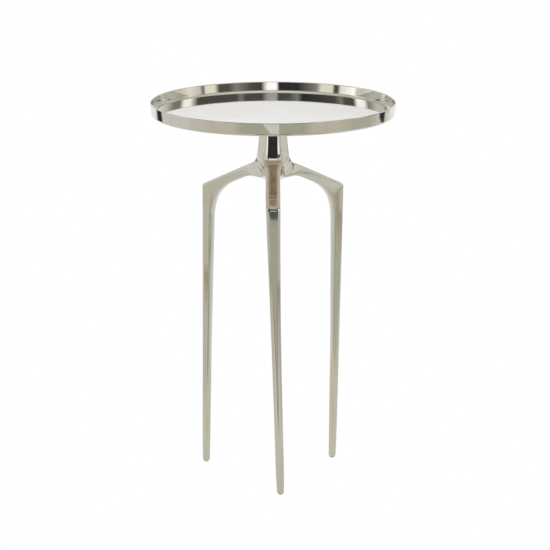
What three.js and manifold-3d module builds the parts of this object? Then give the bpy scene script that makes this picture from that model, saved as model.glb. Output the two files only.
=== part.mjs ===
// Tripod tray table in polished cast metal: a shallow round dish on three arched legs.
// Millimetres, +Z up. The origin is on the floor, on the dish's axis, and the front leg points to -Y.
import * as THREE from "three";
import { mergeVertices } from "three/addons/utils/BufferGeometryUtils.js";
import Module from "manifold-3d";

const wasm = await Module();
wasm.setup();

// ---------------------------------------------------------------- driving sizes

const TABLE_HEIGHT = 635; // floor to the top of the dish's wall
const FIT_GAP = 0.3; // left between two pieces that touch
const ROUND_SIDES = 72; // facets round the dish
const PLATE_SIDES = 40;
const SMALL_SIDES = 20; // facets round a screw or washer
const THROUGH = 1; // a cut runs past a face by this much

// Dish
const DISH_DIAMETER = 404; // across the lip
const DISH_HEIGHT = 21.6; // underside to lip
const DISH_FLOOR = 4.5;
const DISH_WALL = 2.6;
const DISH_FLARE = 2.5; // the wall leans out by this much from bottom to top
const DISH_HEEL = 3.5; // radius of the outside bottom edge
const DISH_COVE = 2.5; // radius inside, between floor and wall
const BOSS_HEIGHT = 8; // pad cast under the floor, where the base is screwed on
const BOSS_MARGIN = 3; // the pad stands this far out past the mounting plate

// Mounting plate between the dish and the legs
const PLATE_THICKNESS = 5;
const PLATE_MARGIN = 6; // metal outside the dish screws' heads
const PLATE_CHAMFER = 1;

// Legs, seen from the side
const NECK_REACH = 22.2; // axis to the front of a leg's upright at the top
const NECK_LENGTH = 64.2; // top of the upright to the bend into the arm
const NECK_STRAIGHT = 28; // the part of it that doesn't widen
const NECK_SPREAD = 4.6; // the upright widens by this much down to the bend
const SHOULDER_BEND = 22;
const ARM_PITCH = THREE.MathUtils.degToRad(25.5); // fall of the arm, from level
const ARM_THICKNESS = 17.4; // square to the arm
const HUB_DEPTH = 27.6; // bend of the upright to the flat underside of the hub
const HUB_BEND = 30;
const KNEE_REACH = 132; // axis to the outside of the leg at the knee
const KNEE_BEND = 6;
const KNEE_DEPTH = 17.6; // front to back, just under the arch
const ARCH_BEND = 65; // inside bend between arm and leg
const FOOT_TUCK = 1.5; // the foot stands this much further in than the knee
const FOOT_DEPTH = 10.8;
const LEG_BOW = 0.8; // the leg is bowed outwards by this much half way down

// Legs, seen from the front
const LEG_WIDTH = 23; // uprights, arms and knees
const FOOT_WIDTH = 13.6;
const FOOT_LEAN = 12.6; // the foot stands this far to one side of the knee
const TAPER_POWER = 2.6; // how early a leg gets slim below the knee
const BACK_NARROWING = 0.3; // share of the width that is lost from front to back
const EDGE_ACROSS = 5; // the rounded edges, across the leg
const EDGE_DEEP = 3; // the rounded edges, front to back
const LEG_STEPS = 10; // stretches that a leg is divided into below the arch
const BEND_STEPS = 7;
const JOINT_SLOT = 0.3; // between two legs where they meet

// Tie bolt that holds the three legs together, with the hardware on it
const TIE_RADIUS = 4;
const TIE_HEAD_RADIUS = 7.6;
const TIE_HEAD_HEIGHT = 4;
const TIE_SOCKET_RADIUS = 2.9; // hexagon socket, over its corners
const HUB_WASHER_RADIUS = 10.5;
const HUB_WASHER_THICKNESS = 3;
const HUB_WASHER_BEVEL = 1;
const TIE_SPRING_RADIUS = 7.2;
const TIE_SPRING_THICKNESS = 2;
const CAP_NUT_ACROSS = 13; // across flats
const CAP_NUT_HEX = 6.5;
const CAP_NUT_HEIGHT = 15;
const CAP_NUT_ROOF = 3;
const CAP_NUT_STEP = 0.5; // the dome is smaller than the hexagon by this much

// Screws down through the plate, one into each leg
const LEG_SCREW_RADIUS = 2.5;
const LEG_SCREW_LENGTH = 20;
const LEG_SCREW_HEAD_RADIUS = 4.8;
const LEG_SCREW_HEAD_HEIGHT = 2.7;
const LEG_SCREW_SOCKET_RADIUS = 1.8;
const HEAD_SPACING = 1.2; // between the tie bolt's head and a leg screw's

// Screws up through the plate into the dish
const DISH_SCREW_RADIUS = 3;
const DISH_SCREW_BITE = 6; // thread inside the dish's pad
const DISH_SCREW_HEAD_RADIUS = 5;
const DISH_SCREW_HEAD_HEIGHT = 6;
const DISH_SCREW_HEAD_EDGE = 0.6;
const DISH_SCREW_SOCKET_RADIUS = 2.9;
const DISH_SCREW_CLEARANCE = 8; // between the uprights' reach and the screws' heads
const FLAT_WASHER_RADIUS = 6;
const FLAT_WASHER_THICKNESS = 1.4;
const SPRING_WASHER_RADIUS = 5.4;
const SPRING_WASHER_THICKNESS = 1.6;
const SPRING_WASHER_SLIT = THREE.MathUtils.degToRad(14);

const SOCKET_DEPTH = 2;
const HOLE_SPARE = 1.5; // a blind hole is this much deeper than its screw

// Glides under the feet
const GLIDE_RADIUS = 4.3;
const GLIDE_HEIGHT = 3;
const GLIDE_EDGE = 0.8;
const GLIDE_STEM_RADIUS = 2;
const GLIDE_STEM_LENGTH = 8;

// ---------------------------------------------------------------- places that follow from them

const dishBase = TABLE_HEIGHT - DISH_HEIGHT;
const bossBase = dishBase - BOSS_HEIGHT;
const plateTop = bossBase - FIT_GAP;
const plateBase = plateTop - PLATE_THICKNESS;
const legTop = plateBase - FIT_GAP;
const shoulder = { r: NECK_REACH + NECK_SPREAD, z: legTop - NECK_LENGTH };
const armFall = Math.tan(ARM_PITCH);
const armTopAt = (r) => shoulder.z - (r - shoulder.r) * armFall;
const armDepth = ARM_THICKNESS / Math.cos(ARM_PITCH);
const hubBase = shoulder.z - HUB_DEPTH;
const kneeZ = armTopAt(KNEE_REACH);
const archReach = KNEE_REACH - KNEE_DEPTH;
const archZ = armTopAt(archReach) - armDepth;
const hubReach = shoulder.r + (HUB_DEPTH - armDepth) / armFall;
const footZ = GLIDE_HEIGHT + FIT_GAP;
const footReach = KNEE_REACH - FOOT_TUCK;
const footCentre = footReach - FOOT_DEPTH / 2;
const footLean = FOOT_LEAN * (1 - footZ / kneeZ);

const dishScrewCircle = NECK_REACH + DISH_SCREW_CLEARANCE + DISH_SCREW_HEAD_RADIUS;
const plateRadius = dishScrewCircle + FLAT_WASHER_RADIUS + PLATE_MARGIN;
const boreRadius = TIE_RADIUS + FIT_GAP;
const legScrewCircle = TIE_HEAD_RADIUS + HEAD_SPACING + LEG_SCREW_HEAD_RADIUS;

const LEGS = [["front", 0], ["left", -120], ["right", 120]];
const DISH_SCREWS = [["right", 60], ["left", -60], ["rear", 180]];

// ---------------------------------------------------------------- shop tools

// A closed geometry as a solid that can be joined and cut.
function solidOf(geometry) {
  const bare = geometry.index ? geometry.toNonIndexed() : geometry.clone();
  bare.deleteAttribute("normal");
  bare.deleteAttribute("uv");
  const welded = mergeVertices(bare, 1e-4);
  return new wasm.Manifold(new wasm.Mesh({
    numProp: 3,
    vertProperties: welded.attributes.position.array,
    triVerts: new Uint32Array(welded.index.array),
  }));
}

function geometryOf(solid) {
  const mesh = solid.getMesh();
  const geometry = new THREE.BufferGeometry();
  geometry.setAttribute("position", new THREE.BufferAttribute(mesh.vertProperties, 3));
  geometry.setIndex(new THREE.BufferAttribute(mesh.triVerts, 1));
  const faceted = geometry.toNonIndexed();
  faceted.computeVertexNormals();
  return faceted;
}

// A body turned about Z from its half section, [radius, height] from the bottom up on the outside.
function turned(section, sides = SMALL_SIDES) {
  const points = section.map(([r, z]) => new THREE.Vector2(r, z));
  return new THREE.LatheGeometry(points, sides).rotateX(Math.PI / 2);
}

function cylinder(radius, low, high, sides = SMALL_SIDES) {
  return solidOf(turned([[0, low], [radius, low], [radius, high], [0, high]], sides));
}

function cone(lowRadius, low, highRadius, high) {
  return solidOf(turned([[0, low], [lowRadius, low], [highRadius, high], [0, high]]));
}

function hexagon(cornerRadius, low, high) {
  return cylinder(cornerRadius, low, high, 6);
}

function ring(bore, radius, low, high) {
  return cylinder(radius, low, high).subtract(cylinder(bore, low - THROUGH, high + THROUGH));
}

function at(angle, radius, z = 0) {
  const a = THREE.MathUtils.degToRad(angle);
  return [radius * Math.sin(a), -radius * Math.cos(a), z];
}

// The points of a quarter bend, or of any other arc, from one angle to another.
function arc(r, z, radius, from, to, steps = 4) {
  return Array.from({ length: steps + 1 }, (_, i) => {
    const a = THREE.MathUtils.degToRad(from + ((to - from) * i) / steps);
    return [r + radius * Math.cos(a), z + radius * Math.sin(a)];
  });
}

// A closed outline through corners, each [x, y, bend radius].
function outlineThrough(corners) {
  const outline = [];
  corners.forEach(([x, y, radius], i) => {
    const [px, py] = corners.at(i - 1);
    const [nx, ny] = corners[(i + 1) % corners.length];
    const into = new THREE.Vector2(x - px, y - py).normalize();
    const out = new THREE.Vector2(nx - x, ny - y).normalize();
    const turn = Math.atan2(into.cross(out), into.dot(out));
    if (!radius) return outline.push(new THREE.Vector2(x, y));
    const side = Math.sign(turn) * radius;
    const reach = radius * Math.tan(Math.abs(turn) / 2);
    const start = new THREE.Vector2(x, y).addScaledVector(into, -reach);
    const centre = start.clone().add(new THREE.Vector2(-into.y, into.x).multiplyScalar(side));
    for (let k = 0; k <= BEND_STEPS; k++)
      outline.push(start.clone().rotateAround(centre, (turn * k) / BEND_STEPS));
  });
  return outline;
}

// ---------------------------------------------------------------- dish

function dish() {
  const lip = DISH_WALL / 2;
  const rim = DISH_DIAMETER / 2;
  const heelReach = rim - DISH_FLARE;
  const bossRadius = plateRadius + BOSS_MARGIN;
  const insideHeel = heelReach - DISH_WALL;
  const body = solidOf(turned([
    [0, bossBase],
    [bossRadius, bossBase],
    [bossRadius, dishBase],
    ...arc(heelReach - DISH_HEEL, dishBase + DISH_HEEL, DISH_HEEL, -90, 0),
    ...arc(rim - lip, TABLE_HEIGHT - lip, lip, 0, 180),
    ...arc(insideHeel - DISH_COVE, dishBase + DISH_FLOOR + DISH_COVE, DISH_COVE, 0, -90, 3),
    [0, dishBase + DISH_FLOOR],
  ], ROUND_SIDES));
  const tapped = cylinder(
    DISH_SCREW_RADIUS + FIT_GAP, bossBase - THROUGH, bossBase + DISH_SCREW_BITE + HOLE_SPARE);
  return DISH_SCREWS.reduce(
    (solid, [, angle]) => solid.subtract(tapped.translate(at(angle, dishScrewCircle))), body);
}

// ---------------------------------------------------------------- mounting plate

function countersink(head, shank, height) {
  const clear = FIT_GAP;
  return cone(shank + clear, plateTop - height - clear, head + clear, plateTop - clear)
    .add(cylinder(head + clear, plateTop - clear, plateTop + THROUGH))
    .add(cylinder(shank + clear, plateBase - THROUGH, plateTop));
}

function plate() {
  let solid = solidOf(turned([
    [0, plateBase],
    [plateRadius - PLATE_CHAMFER, plateBase],
    [plateRadius, plateBase + PLATE_CHAMFER],
    [plateRadius, plateTop],
    [0, plateTop],
  ], PLATE_SIDES));
  const legHole = countersink(LEG_SCREW_HEAD_RADIUS, LEG_SCREW_RADIUS, LEG_SCREW_HEAD_HEIGHT);
  const dishHole = cylinder(
    DISH_SCREW_RADIUS + FIT_GAP, plateBase - THROUGH, plateTop + THROUGH);
  for (const [, angle] of LEGS) solid = solid.subtract(legHole.translate(at(angle, legScrewCircle)));
  for (const [, angle] of DISH_SCREWS)
    solid = solid.subtract(dishHole.translate(at(angle, dishScrewCircle)));
  return solid.subtract(countersink(TIE_HEAD_RADIUS, TIE_RADIUS, TIE_HEAD_HEIGHT));
}

// ---------------------------------------------------------------- legs

// Outline of a leg from the side, x away from the axis. It starts past the axis and above the top,
// where the joint faces are cut afterwards.
function legOutline() {
  const past = LEG_WIDTH;
  const above = legTop + 2 * EDGE_DEEP;
  const between = (from, to, share) => from + (to - from) * share;
  const bow = (share) => 4 * LEG_BOW * share * (1 - share);
  const corners = [
    [-past, above, 0],
    [NECK_REACH, above, 0],
    [NECK_REACH, legTop - NECK_STRAIGHT, 0],
    [shoulder.r, shoulder.z, SHOULDER_BEND],
    [KNEE_REACH, kneeZ, KNEE_BEND],
  ];
  const steps = Array.from({ length: LEG_STEPS - 1 }, (_, i) => (i + 1) / LEG_STEPS);
  for (const s of steps)
    corners.push([between(KNEE_REACH, footReach, s) + bow(s), between(kneeZ, footZ, s), 0]);
  corners.push([footReach, footZ, 0], [footReach - FOOT_DEPTH, footZ, 0]);
  const archEnd = archZ - ARCH_BEND * Math.tan((Math.PI / 2 - ARM_PITCH) / 2);
  for (const s of steps) {
    const z = between(footZ, archEnd, s);
    const straight = between(footReach - FOOT_DEPTH, archReach, (z - footZ) / (archZ - footZ));
    corners.push([straight + bow(s), z, 0]);
  }
  corners.push([archReach, archZ, ARCH_BEND], [hubReach, hubBase, HUB_BEND], [-past, hubBase, 0]);
  return outlineThrough(corners);
}

// Width and sideways lean, given to the straight slab that the outline makes.
function shapeAcross(geometry) {
  const place = geometry.attributes.position;
  for (let i = 0; i < place.count; i++) {
    const r = -place.getY(i);
    const z = place.getZ(i);
    const down = THREE.MathUtils.clamp(z / kneeZ, 0, 1);
    const width = FOOT_WIDTH + (LEG_WIDTH - FOOT_WIDTH) * down ** TAPER_POWER;
    const underArm = (armTopAt(r) - z) * Math.cos(ARM_PITCH);
    const behindLeg = KNEE_REACH - r;
    const depth = THREE.MathUtils.lerp(FOOT_DEPTH, KNEE_DEPTH, down);
    const back = THREE.MathUtils.clamp(Math.min(underArm, behindLeg) / depth, 0, 1);
    const outside = THREE.MathUtils.smoothstep(r, NECK_REACH, archReach);
    const narrowing = 1 - BACK_NARROWING * back * outside;
    const lean = FOOT_LEAN * (1 - down);
    place.setX(i, (place.getX(i) * width * narrowing) / LEG_WIDTH + lean);
  }
  return geometry;
}

function leg() {
  const slab = new THREE.ExtrudeGeometry(new THREE.Shape(legOutline()), {
    depth: LEG_WIDTH - 2 * EDGE_ACROSS,
    bevelThickness: EDGE_ACROSS,
    bevelSize: EDGE_DEEP,
    bevelOffset: -EDGE_DEEP,
    bevelSegments: 3,
  });
  slab.translate(0, 0, EDGE_ACROSS - LEG_WIDTH / 2);
  slab.rotateX(Math.PI / 2).rotateZ(-Math.PI / 2);
  const body = solidOf(shapeAcross(slab));

  // Each leg keeps its own third of the hub: a wedge with its point on the axis.
  const far = 2 * KNEE_REACH;
  const half = Math.PI / LEGS.length;
  const point = JOINT_SLOT / 2 / Math.sin(half);
  const wedge = new THREE.Shape([
    new THREE.Vector2(0, -point),
    new THREE.Vector2(-far * Math.tan(half), -point - far),
    new THREE.Vector2(far * Math.tan(half), -point - far),
  ]);
  const third = solidOf(new THREE.ExtrudeGeometry(wedge, { depth: legTop, bevelEnabled: false }));

  const screwHole = cylinder(
    LEG_SCREW_RADIUS + FIT_GAP, plateTop - LEG_SCREW_LENGTH - HOLE_SPARE, legTop + THROUGH);
  const stemHole = cylinder(
    GLIDE_STEM_RADIUS + FIT_GAP, footZ - THROUGH, footZ + GLIDE_STEM_LENGTH + HOLE_SPARE);
  return body
    .intersect(third)
    .subtract(cylinder(boreRadius, hubBase - THROUGH, legTop + THROUGH))
    .subtract(screwHole.translate(at(0, legScrewCircle)))
    .subtract(stemHole.translate([footLean, -footCentre, 0]));
}

// ---------------------------------------------------------------- fasteners

// Countersunk screw, its head flush in the plate.
function countersunk(head, headHeight, shank, tip, socket) {
  const top = plateTop - FIT_GAP;
  return cone(shank, top - headHeight, head, top)
    .add(cylinder(shank, tip, top - headHeight / 2))
    .subtract(hexagon(socket, top - SOCKET_DEPTH, top + THROUGH));
}

// The stack on the tie bolt, from the hub's underside down.
const hubWasherTop = hubBase - FIT_GAP;
const tieSpringTop = hubWasherTop - HUB_WASHER_THICKNESS - FIT_GAP;
const capNutTop = tieSpringTop - TIE_SPRING_THICKNESS - FIT_GAP;
const capNutHole = capNutTop - CAP_NUT_HEIGHT + CAP_NUT_ROOF;

function capNut() {
  const corner = CAP_NUT_ACROSS / Math.sqrt(3);
  const domeRadius = CAP_NUT_ACROSS / 2 - CAP_NUT_STEP;
  const foot = capNutTop - CAP_NUT_HEIGHT;
  const dome = solidOf(turned([
    ...arc(0, foot + domeRadius, domeRadius, -90, 0, 5),
    [domeRadius, capNutTop - CAP_NUT_HEX / 2],
    [0, capNutTop - CAP_NUT_HEX / 2],
  ]));
  return hexagon(corner, capNutTop - CAP_NUT_HEX, capNutTop)
    .add(dome)
    .subtract(cylinder(boreRadius, capNutHole, capNutTop + THROUGH));
}

// A thick clamp washer, bevelled underneath, that bears on all three legs.
function hubWasher() {
  const base = hubWasherTop - HUB_WASHER_THICKNESS;
  return solidOf(turned([
    [0, base],
    [HUB_WASHER_RADIUS - HUB_WASHER_BEVEL, base],
    [HUB_WASHER_RADIUS, base + HUB_WASHER_BEVEL],
    [HUB_WASHER_RADIUS, hubWasherTop],
    [0, hubWasherTop],
  ])).subtract(cylinder(boreRadius, base - THROUGH, hubWasherTop + THROUGH));
}

function springWasher(bore, radius, low, height) {
  const a = SPRING_WASHER_SLIT / 2;
  const split = new THREE.Shape()
    .absarc(0, 0, radius, a, 2 * Math.PI - a, false)
    .absarc(0, 0, bore, 2 * Math.PI - a, a, true);
  const coil = new THREE.ExtrudeGeometry(split, {
    depth: height,
    bevelEnabled: false,
    curveSegments: SMALL_SIDES / 2,
  });
  return solidOf(coil.translate(0, 0, low));
}

// The stack on a dish screw, from the plate's underside down.
const springTop = plateBase - FIT_GAP;
const flatTop = springTop - SPRING_WASHER_THICKNESS - FIT_GAP;
const dishHeadTop = flatTop - FLAT_WASHER_THICKNESS - FIT_GAP;

function dishScrew() {
  const base = dishHeadTop - DISH_SCREW_HEAD_HEIGHT;
  return solidOf(turned([
    [0, base],
    [DISH_SCREW_HEAD_RADIUS - DISH_SCREW_HEAD_EDGE, base],
    [DISH_SCREW_HEAD_RADIUS, base + DISH_SCREW_HEAD_EDGE],
    [DISH_SCREW_HEAD_RADIUS, dishHeadTop],
    [DISH_SCREW_RADIUS, dishHeadTop],
    [DISH_SCREW_RADIUS, bossBase + DISH_SCREW_BITE],
    [0, bossBase + DISH_SCREW_BITE],
  ])).subtract(hexagon(DISH_SCREW_SOCKET_RADIUS, base - THROUGH, base + SOCKET_DEPTH));
}

// ---------------------------------------------------------------- glides

function glide() {
  return solidOf(turned([
    [0, 0],
    [GLIDE_RADIUS - GLIDE_EDGE, 0],
    [GLIDE_RADIUS, GLIDE_EDGE],
    [GLIDE_RADIUS, GLIDE_HEIGHT],
    [GLIDE_STEM_RADIUS, GLIDE_HEIGHT],
    [GLIDE_STEM_RADIUS, footZ + GLIDE_STEM_LENGTH],
    [0, footZ + GLIDE_STEM_LENGTH],
  ]));
}

// ---------------------------------------------------------------- assembly

const finish = (color, roughness, metalness) =>
  new THREE.MeshStandardMaterial({ color, roughness, metalness });
const polished = finish(0xcbc7bc, 0.08, 1);
const zincSteel = finish(0xb4b7ba, 0.35, 1);
const glidePlastic = finish(0xe4e1d8, 0.5, 0);

const table = new THREE.Group();

function place(name, geometry, material, angle = 0, offset = [0, 0, 0]) {
  const mesh = new THREE.Mesh(geometry, material);
  mesh.name = name;
  mesh.position.set(...offset);
  mesh.rotation.z = THREE.MathUtils.degToRad(angle);
  table.add(mesh);
}

place("tray_dish", geometryOf(dish()), polished);
place("mounting_plate", geometryOf(plate()), zincSteel);

const legGeometry = geometryOf(leg());
const legScrewGeometry = geometryOf(countersunk(
  LEG_SCREW_HEAD_RADIUS, LEG_SCREW_HEAD_HEIGHT, LEG_SCREW_RADIUS, plateTop - LEG_SCREW_LENGTH,
  LEG_SCREW_SOCKET_RADIUS));
const glideGeometry = geometryOf(glide());
const glideAngle = THREE.MathUtils.radToDeg(Math.atan2(footLean, footCentre));
const glideCircle = Math.hypot(footLean, footCentre);
for (const [name, angle] of LEGS) {
  place(`leg_${name}`, legGeometry, polished, angle);
  place(`leg_screw_${name}`, legScrewGeometry, zincSteel, angle, at(angle, legScrewCircle));
  place(`glide_${name}`, glideGeometry, glidePlastic, angle, at(angle + glideAngle, glideCircle));
}

place("tie_bolt", geometryOf(countersunk(
  TIE_HEAD_RADIUS, TIE_HEAD_HEIGHT, TIE_RADIUS, capNutHole + FIT_GAP, TIE_SOCKET_RADIUS)), zincSteel);
place("hub_washer", geometryOf(hubWasher()), zincSteel);
place("tie_spring_washer", geometryOf(springWasher(
  boreRadius, TIE_SPRING_RADIUS, tieSpringTop - TIE_SPRING_THICKNESS, TIE_SPRING_THICKNESS)), zincSteel);
place("cap_nut", geometryOf(capNut()), zincSteel);

const dishScrewGeometry = geometryOf(dishScrew());
const flatWasherGeometry = geometryOf(ring(
  DISH_SCREW_RADIUS + FIT_GAP, FLAT_WASHER_RADIUS, flatTop - FLAT_WASHER_THICKNESS, flatTop));
const springWasherGeometry = geometryOf(springWasher(
  DISH_SCREW_RADIUS + FIT_GAP, SPRING_WASHER_RADIUS, springTop - SPRING_WASHER_THICKNESS,
  SPRING_WASHER_THICKNESS));
for (const [name, angle] of DISH_SCREWS) {
  const seat = at(angle, dishScrewCircle);
  place(`tray_screw_${name}`, dishScrewGeometry, zincSteel, angle, seat);
  place(`flat_washer_${name}`, flatWasherGeometry, zincSteel, angle, seat);
  place(`spring_washer_${name}`, springWasherGeometry, zincSteel, angle, seat);
}

export default table;
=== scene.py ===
# Tripod tray table in polished cast metal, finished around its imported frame. Metres, +Z up, front leg to -Y.
import math
import bmesh
import bpy
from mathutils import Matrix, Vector


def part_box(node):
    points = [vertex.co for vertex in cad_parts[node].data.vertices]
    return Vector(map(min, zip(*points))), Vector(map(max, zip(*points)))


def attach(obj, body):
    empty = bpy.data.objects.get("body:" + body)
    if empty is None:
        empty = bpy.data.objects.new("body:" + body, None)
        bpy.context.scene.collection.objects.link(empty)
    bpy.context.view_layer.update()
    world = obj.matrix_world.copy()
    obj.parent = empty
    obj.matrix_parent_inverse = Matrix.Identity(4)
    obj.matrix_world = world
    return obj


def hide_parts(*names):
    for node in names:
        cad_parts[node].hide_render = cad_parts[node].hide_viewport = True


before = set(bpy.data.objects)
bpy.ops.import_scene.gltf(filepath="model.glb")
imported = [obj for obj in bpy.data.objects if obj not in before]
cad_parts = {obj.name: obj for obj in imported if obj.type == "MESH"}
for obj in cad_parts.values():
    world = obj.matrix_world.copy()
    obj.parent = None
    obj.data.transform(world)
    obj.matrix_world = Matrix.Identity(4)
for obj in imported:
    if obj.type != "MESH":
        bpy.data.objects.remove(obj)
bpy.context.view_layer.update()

MM = 0.001
NEAR = 0.02 * MM  # how close counts as on the same line
GAP = 0.3 * MM  # left between two pieces that touch
PAST = 1 * MM  # a cutter runs past a face by this much
ROUND = 256  # sides of the dish
SMALL_ROUND = 64  # sides of screws, washers and glides

# ---------------------------------------------------------------- sizes and places taken from the frame

dish_low, dish_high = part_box("tray_dish")
plate_low, plate_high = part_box("mounting_plate")
leg_low, leg_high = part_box("leg_front")
washer_low, washer_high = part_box("hub_washer")
cap_low, cap_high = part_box("cap_nut")
screw_low, screw_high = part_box("tray_screw_rear")
flat_low, flat_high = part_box("flat_washer_rear")
glide_low, glide_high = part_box("glide_front")
leg_screw_low, leg_screw_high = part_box("leg_screw_front")
bolt_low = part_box("tie_bolt")[0]

LEGS = {"front": 0, "left": -120, "right": 120}
TRAY_SCREWS = {"right": 60, "left": -60, "rear": 180}

# Dish
LIP_Z = dish_high.z
RIM = dish_high.x
DISH_BASE = LIP_Z - 21.6 * MM
DISH_FLOOR = DISH_BASE + 4.5 * MM
DISH_WALL = 2.6 * MM
DISH_FLARE = 2.5 * MM
DISH_HEEL = 3.5 * MM
DISH_COVE = 2.5 * MM
BOSS_RADIUS = plate_high.x + 3 * MM
BOSS_EDGE = 1 * MM
BOSS_FILLET = 3 * MM
LIP_ROUNDING = 0.45 * DISH_WALL  # a little less than half the wall, so that the two roundings don't meet
FLOOR_RINGS = (0.75, 0.5, 0.25, 0.08)  # shares of the floor's radius

# Leg from the side, in its own plane: x away from the axis, y up
LEG_TOP = leg_high.z
FOOT_Z = leg_low.z
HUB_BASE = washer_high.z + GAP
NECK_REACH = 22.2 * MM
NECK_STRAIGHT = 28 * MM
SHOULDER = Vector((26.8 * MM, LEG_TOP - 64.2 * MM))
SHOULDER_BEND = 12 * MM
ARM_PITCH = math.radians(25.5)
ARM_THICKNESS = 17.4 * MM
HUB_BEND = 30 * MM
KNEE_REACH = 132 * MM
KNEE_BEND = 6.2 * MM
KNEE_DEPTH = 17.6 * MM
ARCH_BEND = 65 * MM
FOOT_REACH = 130.5 * MM
FOOT_DEPTH = 10.8 * MM
LEG_BOW = 0.8 * MM
BEHIND_AXIS = -23 * MM  # the blank runs past the axis before its joint faces are cut

# Leg from the front
LEG_WIDTH = 23 * MM
KNEE_WIDTH = 24 * MM
FOOT_WIDTH = 13 * MM
TOE_NARROWING = 0.18
TOE_HEIGHT = 35 * MM
FOOT_LEAN = 12.5 * MM
LEAN_POWER = 1.1
TAPER_POWER = 2.2
BACK_NARROWING = 0.3
BACK_NARROWING_AT_FOOT = 0.3  # share of that narrowing that is left at the foot
EDGE_ACROSS = 4.5 * MM
EDGE_DEEP = 2.2 * MM
SHIN_EDGE_DEEP = 1.5 * MM
BACK_EDGE_DEEP = 2 * MM
EDGE_SUPPORT = 0.35  # where along a bevelled edge its extra line of corners lies
MOST_EDGE = 0.4  # share of half the width that an edge may take where the leg is slim
SIDE_SUPPORT = 2.4 * MM  # keeps the edges of the side faces firm
SIDE_CROWN = 0.3 * MM
FRONT_CROWN = 0.12 * MM
CORNER_LOSS = 0.3 * MM  # the smoothed corner lies inside its cage by this much
FACET_START = 410 * MM  # below this height the front's flat facet narrows
FACET_END = 135 * MM  # and here it runs out in a point
FACET_POINT = 0.8 * MM
JOINT_SLOT = 0.3 * MM
SOLE_INSET = 1.2 * MM
SKIN_LEVELS = 3

# Rings of the leg's cage
TOE_RINGS = (0, 1 * MM, 4 * MM)  # above the sole
SHIN_RINGS = (18, 38, 90, 135, 180, 225, 270, 315, 360, 400)  # heights in millimetres
KNEE_SPAN = 52 * MM  # the rings that turn round the knee reach this far to either side of its corner
ARM_RINGS = (68 * MM, 83 * MM, 95 * MM)  # from the knee's corner
# Share of the shoulder's bend, reach of the inner end, and the flare of the outer and the inner end
HUB_RINGS = (
    (0, 27 * MM, 1 * MM, 4 * MM),
    (0.33, 18 * MM, 4 * MM, 7 * MM),
    (0.67, 6 * MM, 4 * MM, 9 * MM),
    (1, -6 * MM, 1 * MM, 10 * MM),
)

# Plate, fasteners and glides
PLATE_ROUND = 128
PLATE_CHAMFER = 1 * MM
PLATE_TOP_EDGE = 0.4 * MM
TIE_RADIUS = 4 * MM
TIE_HEAD = (7.6 * MM, 4 * MM)  # radius and depth of a countersunk head
LEG_SCREW_RADIUS = 2.5 * MM
LEG_SCREW_HEAD = (4.8 * MM, 2.7 * MM)
TRAY_SCREW_RADIUS = 3 * MM
TRAY_SCREW_HEAD = 5 * MM
TRAY_SCREW_HEAD_HEIGHT = 6 * MM
TRAY_SCREW_EDGE = 0.6 * MM
SOCKET_RADIUS = 2.9 * MM
SOCKET_DEPTH = 2 * MM
HOLE_SPARE = 1.5 * MM  # a blind hole is this much deeper than what stands in it
CAP_ACROSS = 13 * MM
CAP_HEX = 6.5 * MM  # height of the hexagon
CAP_CONE = 0.8 * MM  # height of the cone at either end of it
CAP_CONE_INSET = 0.2 * MM
CAP_STEP = 0.5 * MM  # the dome is smaller than the hexagon by this much
CAP_ROOT = 3 * MM  # the dome starts this far inside the hexagon
CAP_DOME_STEPS = 8
HUB_WASHER_BEVEL = 1 * MM
FLAT_WASHER_EDGE = 0.25 * MM
GLIDE_HEIGHT = 3 * MM
GLIDE_EDGE = 0.8 * MM
GLIDE_TOP_EDGE = 0.3 * MM
GLIDE_STEM_RADIUS = 2 * MM
GLIDE_STEM_EDGE = 0.4 * MM
leg_screw_circle = -(leg_screw_low.y + leg_screw_high.y) / 2
tray_screw_circle = (screw_low.y + screw_high.y) / 2
glide_place = (glide_low + glide_high) / 2

# ---------------------------------------------------------------- modelling by hand


def deselect():
    if bpy.context.mode != "OBJECT":
        bpy.ops.object.mode_set(mode="OBJECT")
    bpy.ops.object.select_all(action="DESELECT")


def pick(piece):
    deselect()
    piece.select_set(True)
    bpy.context.view_layer.objects.active = piece


def edit(piece, kind="EDGE"):
    pick(piece)
    bpy.ops.object.mode_set(mode="EDIT")
    bpy.ops.mesh.select_mode(type=kind)
    bpy.ops.mesh.select_all(action="DESELECT")


def finish_edit(piece):
    bpy.ops.mesh.select_all(action="SELECT")
    bpy.ops.mesh.normals_make_consistent(inside=False)
    bpy.ops.object.mode_set(mode="OBJECT")
    return piece


def turned(name, section, sides=SMALL_ROUND, centre=(0, 0)):
    """A closed body turned about an upright line. The section is [radius, height], one flat to the other."""
    deselect()
    radius, height = section[0]
    bpy.ops.mesh.primitive_circle_add(
        vertices=sides, radius=radius, fill_type="NGON", location=(*centre, height))
    piece = bpy.context.object
    piece.name = name
    bpy.ops.object.transform_apply(location=True)
    bpy.ops.object.mode_set(mode="EDIT")
    for new_radius, new_height in section[1:]:
        bpy.ops.mesh.extrude_region_move(TRANSFORM_OT_translate={"value": (0, 0, new_height - height)})
        share = new_radius / radius
        bpy.ops.transform.resize(value=(share, share, 1), center_override=(*centre, new_height))
        radius, height = new_radius, new_height
    return finish_edit(piece)


def round_ring(piece, radius, height, bevel, steps, centre=(0, 0)):
    """Bevels the ring of edges at one radius and height of a turned body."""
    edit(piece)
    shape = bmesh.from_edit_mesh(piece.data)

    def on_ring(corner):
        reach = math.hypot(corner.co.x - centre[0], corner.co.y - centre[1])
        return abs(reach - radius) < NEAR and abs(corner.co.z - height) < NEAR

    for edge in shape.edges:
        edge.select_set(all(on_ring(v) for v in edge.verts))
    bmesh.update_edit_mesh(piece.data)
    bpy.ops.mesh.bevel(offset=bevel, segments=steps, profile=0.5, affect="EDGES")
    return finish_edit(piece)


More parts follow.
